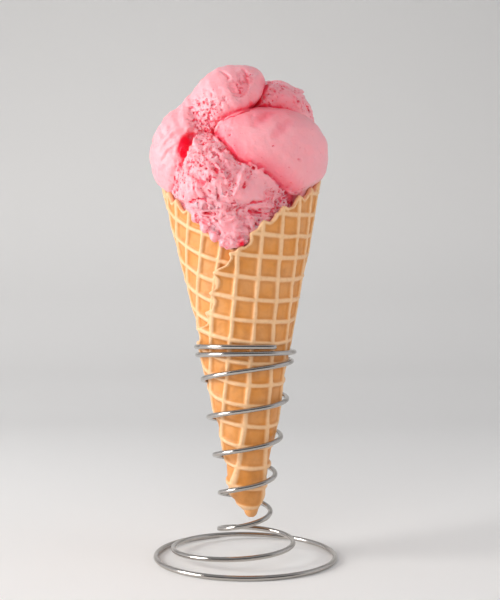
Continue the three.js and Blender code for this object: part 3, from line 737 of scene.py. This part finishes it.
def strokeAt(p):  # depth of the strokes at each point, along the surface's normal
    mark = cream["stroke"]
    size, seed, amount = mark["wander"]
    depth = np.zeros(len(p), np.float32)
    for stroke in strokes:
        stroke = np.array(stroke, np.float32)
        stroke[:, :3] = ontoSurface(stroke[:, :3])
        outward = slopeOf(stroke[:, :3])
        outward /= np.linalg.norm(outward, axis=1, keepdims=True)
        low, high = stroke[:, :3].min(0) - mark["reach"], stroke[:, :3].max(0) + mark["reach"]
        near = np.flatnonzero(((p > low) & (p < high)).all(1))
        at = p[near] + amount * np.stack([noiseAt(p[near], size, seed + i) for i in range(3)], 1)
        best = np.zeros(len(near), np.float32)
        for i in range(len(stroke) - 1):
            start, end = stroke[i], stroke[i + 1]
            run = end[:3] - start[:3]
            t = np.clip((at - start[:3]) @ run / (run @ run), 0, 1)
            off = at - start[:3] - t[:, None] * run
            up = (off * (outward[i] + t[:, None] * (outward[i + 1] - outward[i]))).sum(1)
            aside = np.sqrt(np.maximum((off ** 2).sum(1) - up ** 2, 0))
            share = aside / (start[3] + t * (end[3] - start[3]))
            here = (start[4] + t * (end[4] - start[4])) * (1 - smoothStep(*mark["edge"], share))
            here = here * (1 - smoothStep(*mark["end"], np.abs(up)))
            best = np.where(np.abs(here) > np.abs(best), here, best)
        depth[near] += best
    return depth


def dripField(p):  # distance outside what hangs over the rim
    distance = np.full(len(p), 9.0, np.float32)
    for drip in drips:
        drip = np.array(drip, np.float32)
        for start, end in zip(drip[:-1], drip[1:]):
            run = end[:3] - start[:3]
            t = np.clip((p - start[:3]) @ run / (run @ run), 0, 1)
            away = np.linalg.norm(p - start[:3] - t[:, None] * run, axis=1)
            distance = np.minimum(distance, away - start[3] - t * (end[3] - start[3]))
    return distance


def spotAt(p, spots):  # sum of round spots, each a place with its reach and amount
    total = np.zeros(len(p), np.float32)
    for *middle, reach, amount in spots:
        total += amount * np.exp(-((p - np.array(middle, np.float32)) ** 2).sum(1) / reach ** 2)
    return total


def joinTables():  # the joins as tables, by the numbers of the two scoops
    names = list(scoops)
    square = (len(names), len(names))
    blend, crease = [np.full(square, value) for value in cream["otherJoins"]]
    for pair, (width, depth) in cream["joins"].items():
        i, j = names.index(pair[0]), names.index(pair[1])
        blend[i, j] = blend[j, i] = width
        crease[i, j] = crease[j, i] = depth
    return names, blend, crease


def layerAt(p, name):
    return noiseAt(p, *cream["layers"][name])


# how far the real surface lies under the plain scoops, how pitted it is, and how red it is painted: redder
# as shade, paler as highlight, with some spots of deeper tone
def creamRelief(p, fields, owner):
    torn = np.array([s["crumbs"] for s in scoops.values()], np.float32)[owner]
    torn += spotAt(p, cream["spots"])
    size, seed = cream["layers"]["warp"]
    warp = np.stack([noiseAt(p, size, seed + i) for i in range(3)], 1)
    bent = p + 2.0 * warp
    patch = layerAt(bent, "patch")
    torn = np.clip(torn * (0.5 + 0.65 * smoothStep(-0.35, 0.2, patch)), 0, 1.1)
    swell = 0.5 * layerAt(p, "swell") + 0.3 * layerAt(p, "ripple")
    # clots, grains and crumbs, all rounded with sharp creases between them, and holes and pores
    clots = np.abs(layerAt(bent, "clots"))
    grains = grainsAt(bent, *cream["layers"]["grains"]) ** 2
    crumbs = grainsAt(p + 0.5 * warp, *cream["layers"]["crumbs"]) ** 2
    grit = layerAt(p, "grit")
    holes = smoothStep(0.38, 0.6, layerAt(bent, "holes") + 0.3 * patch)
    pores = smoothStep(0.15, 0.45, layerAt(p, "pores"))
    rough = -1.5 * clots + 1.7 * grains + 0.7 * crumbs + 0.2 * grit + 0.7 * pores
    # flakes that lie over each other like plates, each with a sharp lower edge
    stair = 2.4 * layerAt(bent * np.array([0.6, 0.8, 1.2], np.float32), "plates")
    part = stair - np.floor(stair)
    plates = (part - smoothStep(0.78, 0.98, part)) * smoothStep(0.2, 0.5, torn)
    plates *= 1.3 - 0.8 * smoothStep(*cream["plateFade"], p[:, 2])
    carve = 0.45 * swell + torn * (0.72 * rough + 1.2 * holes) + plates + 0.12
    carve += (1 - np.clip(torn, 0, 1)) * 0.1 * layerAt(p * np.array([1, 1, 0.6], np.float32), "skin")
    pitted = np.clip(spotAt(p, cream["pitted"]), 0, 1)
    carve += pitted * (0.1 + 0.3 * grit + 0.8 * pores)
    flaked = np.zeros(len(p), np.float32)
    ragged = p + 1.6 * warp + 0.5 * grit[:, None]
    for *middle, reach, depth in cream["patches"]:
        away = np.linalg.norm(ragged - np.array(middle, np.float32), axis=1)
        flaked += depth * (1 - smoothStep(0.85, 1.0, away / reach))
    carve += flaked
    # where two scoops meet they run together a little, with a crease along the join
    names, blend, crease = joinTables()
    first, second = np.argsort(fields, axis=1)[:, :2].T
    rows = np.arange(len(p))
    between = fields[rows, second] - fields[rows, first]
    carve -= softened(between, blend[first, second])
    crease = crease[first, second] * (1 + 0.8 * patch) * bell(between, cream["creaseWidth"])
    stroke = strokeAt(p)
    # painted shade and highlight: creases, strokes and curled-under parts redder as shade, raised strings
    # and lips paler as highlight; flake patches and the listed spots redder or paler too
    red = crease + stroke + 1.4 * flaked + spotAt(p, cream["lightShadeAndTone"])
    for (under, beside), (reach, amount) in cream["undersideShade"].items():
        here = (first == names.index(under)) & (second == names.index(beside))
        red += np.where(here, amount * bell(between, reach), 0)
    return carve + crease + stroke, np.maximum(torn, pitted), red


def makeIceCream():
    step = cream["voxel"]
    low = np.array([*cream["low"], cream["bottom"] - 2 * step])
    axes = [np.arange(start, end, step) for start, end in zip(low, cream["high"])]
    grid = np.stack(np.meshgrid(*axes, indexing="ij"), -1).reshape(-1, 3).astype(np.float32)
    shape = [len(a) for a in axes]
    fields = np.stack([scoopField(grid, scoop) for scoop in scoops.values()], 1)
    field = np.minimum(fields.min(1), fillField(grid))
    band = np.flatnonzero(np.abs(field) < cream["reliefReach"])
    print("ice cream relief on", len(band), "of", len(grid), "grid points")
    torn, red = np.zeros((2, len(grid)), np.float32)
    carve, torn[band], red[band] = creamRelief(grid[band], fields[band], fields[band].argmin(1))
    field[band] += carve
    field = np.maximum(field, overRim(grid))
    # what hangs over the rim, as torn as the rest
    loose = cream["hanging"]
    rows = np.flatnonzero((grid[:, 2] < loose["below"]) & (grid[:, 1] < loose["before"]))
    hanging = dripField(grid[rows])
    close = np.abs(hanging) < loose["reach"]
    relief = creamRelief(grid[rows[close]], fields[rows[close]], 0 * rows[close])[0]
    hanging[close] += loose["relief"] * relief
    join = softened(np.abs(field[rows] - hanging), loose["join"])
    field[rows] = np.minimum(field[rows], hanging) - join
    field = np.maximum(field, cream["bottom"] - grid[:, 2])
    block = field.reshape(shape)
    points, quads = mainBody(*surfaceNet(block, low, step))
    points = np.clip(points, cadLow, cadHigh)
    piece = makePiece("iceCream", points, quads.tolist())

    def readBlock(values, places):  # the value at the grid point nearest to each place
        cell = np.clip(np.round((places - low) / step).astype(int), 0, np.array(shape) - 1)
        return values[tuple(cell.T)]

    addNumbers(piece, "torn", readBlock(torn.reshape(shape), points))
    # painted shade (positive) and painted highlight (negative), as a number for each point
    addNumbers(piece, "shadeHighlightAndTone", readBlock(red.reshape(shape), points))
    # painted shade in the deepest crevices, as a number for each point
    addNumbers(piece, "creviceShade", spotAt(points, cream["creviceShade"]))
    # how sheltered each point is: how full the space just outside it is. The material paints shade by it
    normals = np.empty(len(points) * 3, np.float32)
    piece.data.vertices.foreach_get("normal", normals)
    normals = normals.reshape(-1, 3)
    shelter = 0
    for reach, weight in cream["shelter"]:
        value = readBlock(block, points + normals * reach)
        shelter = shelter + weight * np.clip(1 - value / reach, 0, 1.5)
    addNumbers(piece, "shelter", shelter)
    return piece


def newMaterial(name):
    material = bpy.data.materials.new(name)
    material.use_nodes = True
    return material, material.node_tree


def feed(tree, socket, value):  # links a socket, or sets a number or a colour
    if isinstance(value, bpy.types.NodeSocket):
        tree.links.new(value, socket)
    else:
        socket.default_value = value


def addNode(tree, kind, values=None, **settings):
    node = tree.nodes.new(kind)
    for key, value in settings.items():
        setattr(node, key, value)
    for key, value in (values or {}).items():
        feed(tree, node.inputs[key], value)
    return node


def setShader(tree, values):  # numbers, colours or sockets for the material's shader
    for name, value in values.items():
        feed(tree, tree.nodes["Principled BSDF"].inputs[name], value)


def readNumbers(tree, name):
    return addNode(tree, "ShaderNodeAttribute", attribute_name=name).outputs["Fac"]


def mixColours(tree, factor, first, second):
    return addNode(tree, "ShaderNodeMix", {0: factor, 6: first, 7: second}, data_type="RGBA").outputs[2]


def mapRange(tree, value, low, high, toLow=0.0, toHigh=1.0):
    return addNode(tree, "ShaderNodeMapRange", {
        "Value": value, "From Min": low, "From Max": high, "To Min": toLow, "To Max": toHigh,
    }).outputs["Result"]


def tint(tree, colour, tone, mask, low, high, toLow=0.0, toHigh=1.0):  # mixes a tone in by a mask
    return mixColours(tree, mapRange(tree, mask, low, high, toLow, toHigh), colour, tone)


def combine(tree, operation, first, second, clamped=False):
    return addNode(
        tree, "ShaderNodeMath", {0: first, 1: second}, operation=operation, use_clamp=clamped).outputs[0]


def startGroup(name, inputs, stretch=(1, 1, 1)):  # one mask out, and noise sized in metres
    group = bpy.data.node_groups.new(name, "ShaderNodeTree")
    for title, value in inputs.items():
        socket = group.interface.new_socket(title, in_out="INPUT", socket_type="NodeSocketFloat")
        socket.default_value = value
    group.interface.new_socket("Mask", in_out="OUTPUT", socket_type="NodeSocketFloat")
    entry = group.nodes.new("NodeGroupInput").outputs
    place = group.nodes.new("ShaderNodeTexCoord").outputs["Object"]
    stretched = addNode(group, "ShaderNodeMapping", {"Vector": place, "Scale": stretch}).outputs[0]
    noise = addNode(group, "ShaderNodeTexNoise", {
        "Vector": stretched, "Scale": combine(group, "DIVIDE", 1.0, entry["Size"])})
    return group, entry, noise


def finishGroup(group, mask):
    feed(group, group.nodes.new("NodeGroupOutput").inputs["Mask"], mask)
    return group


def mottleGroup():
    # cloudy unevenness: a mask from 0 to 1 in object space
    group, entry, noise = startGroup("mottle", {"Size": 0.01, "Detail": 4.0, "Contrast": 1.0})
    feed(group, noise.inputs["Detail"], entry["Detail"])
    centred = combine(group, "SUBTRACT", noise.outputs["Fac"], 0.5)
    spread = combine(group, "MULTIPLY", centred, entry["Contrast"])
    return finishGroup(group, combine(group, "ADD", spread, 0.5, clamped=True))


def tornPitsGroup():
    # small torn pits: a mask that is 1 in a pit; a larger amount opens more of them
    inputs, stretch = {"Size": 0.002, "Amount": 0.5}, (0.95, 0.95, 1.15)
    group, entry, noise = startGroup("tornPits", inputs, stretch)
    for name, value in (("Detail", 2.0), ("Roughness", 0.55), ("Distortion", 0.25)):
        noise.inputs[name].default_value = value
    level = mapRange(group, entry["Amount"], 0, 1, 0.26, 0.415)
    under = combine(group, "SUBTRACT", level, noise.outputs["Fac"])
    return finishGroup(group, mapRange(group, under, -0.025, 0.06))


mottle = mottleGroup()
tornPits = tornPitsGroup()


def placeMottle(tree, size, detail, contrast):
    values = {"Size": size, "Detail": detail, "Contrast": contrast}
    return addNode(tree, "ShaderNodeGroup", values, node_tree=mottle).outputs["Mask"]


def bumpOf(tree, height, strength, distance):
    return addNode(tree, "ShaderNodeBump", {"Height": height, "Strength": strength, "Distance": distance})


def steelMaterial():
    material, tree = newMaterial("polishedSteel")
    smear = placeMottle(tree, 0.006, 3, 1.6)
    # the steel colour carries a painted reflection: its brown warmth
    steel, smooth = wire["steel"], wire["roughness"]
    setShader(tree, {
        "Metallic": 1,
        "Base Color": mixColours(tree, smear, steel, tuple(c * 0.9 for c in steel[:3]) + (1,)),
        "Roughness": mapRange(tree, smear, 0, 1, smooth - 0.03, smooth + 0.06),
    })
    return material


def waffleMaterial():
    material, tree = newMaterial("bakedWaffle")
    cloud = placeMottle(tree, 0.012, 4, 1.8)
    blotch = placeMottle(tree, 0.005, 3, 2.6)
    speck = placeMottle(tree, 0.0014, 3, 2.2)
    colour = tint(tree, cone["pocket"], cone["rib"], cloud, 0.3, 1, 0, 0.4)
    colour = tint(tree, colour, cone["toastAndShade"], cloud, 0.5, 1, 0, 0.35)
    colour = tint(tree, colour, cone["toastAndShade"], blotch, 0.5, 1, 0, 0.4)
    # painted shade: toast-brown beside each rib, where the rib shades the pocket
    colour = tint(tree, colour, cone["toastAndShade"], readNumbers(tree, "ribShade"), 0, 1, 0, 0.3)
    colour = tint(tree, colour, cone["rib"], readNumbers(tree, "rib"), 0.3, 0.8)
    colour = tint(tree, colour, cone["toastAndShade"], speck, 0.45, 1, 0, 0.16)
    setShader(tree, {
        "Base Color": colour,
        "Roughness": cone["roughness"],
        "Specular IOR Level": cone["shine"],
        "Normal": bumpOf(tree, speck, 0.35, 0.0002).outputs["Normal"],
    })
    return material


def creamMaterial():
    material, tree = newMaterial("berryIceCream")
    shelter, shadeHighlightAndTone = readNumbers(tree, "shelter"), readNumbers(tree, "shadeHighlightAndTone")
    cloud = placeMottle(tree, 0.011, 3, 1.5)
    grain = placeMottle(tree, 0.0011, 4, 1.8)
    values = {"Size": 0.0014, "Amount": readNumbers(tree, "torn")}
    pits = addNode(tree, "ShaderNodeGroup", values, node_tree=tornPits).outputs["Mask"]
    # painted shade: pinker where a point is sheltered
    colour = tint(tree, cream["pale"], cream["pink"], shelter, 0.2, 0.5)
    colour = tint(tree, colour, cream["pale"], cloud, 0.3, 1, 0, 0.25)
    # painted shade: deep red in the small torn pits
    colour = tint(tree, colour, cream["deep"], pits, 0, 1, 0, 0.9)
    # painted shade: deep red where a point is more sheltered
    colour = tint(tree, colour, cream["deep"], shelter, 0.4, 0.8)
    # painted shade in creases and carved strokes, and below, painted highlight on raised strings and lips
    colour = tint(tree, colour, cream["deep"], shadeHighlightAndTone, 0.15, 1.8, 0, 0.85)
    colour = tint(tree, colour, cream["pale"], shadeHighlightAndTone, -1, -0.1, 0.7, 0)
    # painted shade: deep red in the deepest crevices and hollows
    colour = tint(tree, colour, cream["red"], readNumbers(tree, "creviceShade"), 0.25, 0.8)
    fine = bumpOf(tree, grain, 0.3, 0.00025)
    coarse = bumpOf(tree, mapRange(tree, pits, 0, 1, 1, 0), 0.9, 0.0006)
    feed(tree, coarse.inputs["Normal"], fine.outputs["Normal"])
    setShader(tree, {
        "Base Color": colour,
        "Roughness": cream["roughness"],
        "Subsurface Weight": cream["scatterShare"],
        "Subsurface Radius": cream["scatterColour"],
        "Subsurface Scale": cream["scatterDepth"],
        "Normal": coarse.outputs["Normal"],
    })
    return material


def dress(piece, material, nodes):
    piece.data.materials.append(material)
    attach(piece, "root")
    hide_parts(*nodes)
    print(piece.name, "made with", len(piece.data.vertices), "points")


dress(makeHolder(), steelMaterial(), ["holder"])
dress(makeCone(), waffleMaterial(), ["cone"])
dress(makeIceCream(), creamMaterial(), list(scoops))

# the floor, the light and the camera
studio = {
    "floorColour": (0.93, 0.915, 0.90, 1), "floorRoughness": 0.55, "floorSize": 3.0,
    # the floor's sweep behind the cone: how far back, how high
    "sweep": [(0.6, 0), (0.9, 0.04), (1.1, 0.16), (1.2, 0.36), (1.25, 1.6)],
    "worldColour": (0.94, 0.96, 1.0, 1),
    # strength near the horizon and overhead, and between which heights it changes
    "worldStrength": 0.79, "topStrength": 0.36, "fade": (0.35, 0.9),
    # a dark band low behind the viewer, for the steel to mirror: strength, where it ends
    "darkShare": 0.05, "darkHeight": (0.45, 0.75), "darkFront": (-0.15, -0.5),
    # name, place in metres, size, power in watts, colour, mirrored by the steel
    "lamps": [
        ("keyLeft", (-1.05, -0.3, 0.42), 0.6, 12.0, (1.0, 0.985, 0.965), True),
        ("frontFill", (-0.25, -1.2, 0.55), 0.9, 5.6, (1.0, 1.0, 1.0), False),
        ("rightFill", (1.1, -0.35, 0.35), 0.8, 3.5, (1.0, 0.99, 0.97), False),
    ],
    "lampAim": (0, 0, 0.13),
    # the camera: place in millimetres from the coil's axis, tilt up, lens and sensor width
    "eye": (1.6, -390, 93.5), "tilt": 0.043, "lens": 54, "sensor": 36,
}


def makeFloor():
    half = studio["floorSize"] / 2
    points = [(x, y, z) for y, z in [(-half, 0)] + studio["sweep"] for x in (-half, half)]
    faces = [(2 * i, 2 * i + 1, 2 * i + 3, 2 * i + 2) for i in range(len(studio["sweep"]))]
    mesh = bpy.data.meshes.new("floor")
    mesh.from_pydata(points, [], faces)
    mesh.shade_smooth()
    floor = bpy.data.objects.new("floor", mesh)
    bpy.context.scene.collection.objects.link(floor)
    material, tree = newMaterial("paleFloor")
    setShader(tree, {"Base Color": studio["floorColour"], "Roughness": studio["floorRoughness"]})
    mesh.materials.append(material)


def makeLight():
    world = bpy.data.worlds.new("softLight")
    bpy.context.scene.world = world
    world.use_nodes = True
    tree = world.node_tree
    place = tree.nodes.new("ShaderNodeTexCoord").outputs["Generated"]
    parts = addNode(tree, "ShaderNodeSeparateXYZ", {0: place}).outputs
    low = mapRange(tree, combine(tree, "ABSOLUTE", parts["Z"], 0), *studio["darkHeight"], 1, 0)
    dark = combine(tree, "MULTIPLY", low, mapRange(tree, parts["Y"], *studio["darkFront"]))
    above = mapRange(tree, parts["Z"], *studio["fade"], studio["worldStrength"], studio["topStrength"])
    strength = combine(tree, "MULTIPLY", above, mapRange(tree, dark, 0, 1, 1, studio["darkShare"]))
    sky = tree.nodes["Background"]
    feed(tree, sky.inputs["Color"], studio["worldColour"])
    feed(tree, sky.inputs["Strength"], strength)
    for name, place, size, power, colour, mirrored in studio["lamps"]:
        light = bpy.data.lights.new(name, "AREA")
        light.shape = "SQUARE"
        light.size = size
        light.energy = power
        light.color = colour
        lamp = bpy.data.objects.new(name, light)
        lamp.location = place
        lamp.visible_glossy = mirrored
        lamp.rotation_mode = "QUATERNION"
        lamp.rotation_quaternion = (Vector(studio["lampAim"]) - Vector(place)).to_track_quat("-Z", "Y")
        bpy.context.scene.collection.objects.link(lamp)


def makeCamera():
    lens = bpy.data.cameras.new("camera")
    lens.lens = studio["lens"]
    lens.sensor_width = studio["sensor"]
    camera = bpy.data.objects.new("camera", lens)
    camera.location = (np.array(studio["eye"]) + coilAxis) / 1000
    camera.rotation_euler = (math.pi / 2 + studio["tilt"], 0, 0)
    bpy.context.scene.collection.objects.link(camera)
    bpy.context.scene.camera = camera


makeFloor()
makeLight()
makeCamera()
bpy.context.scene.view_settings.view_transform = "Standard"
print("studio made")

bpy.context.view_layer.update()
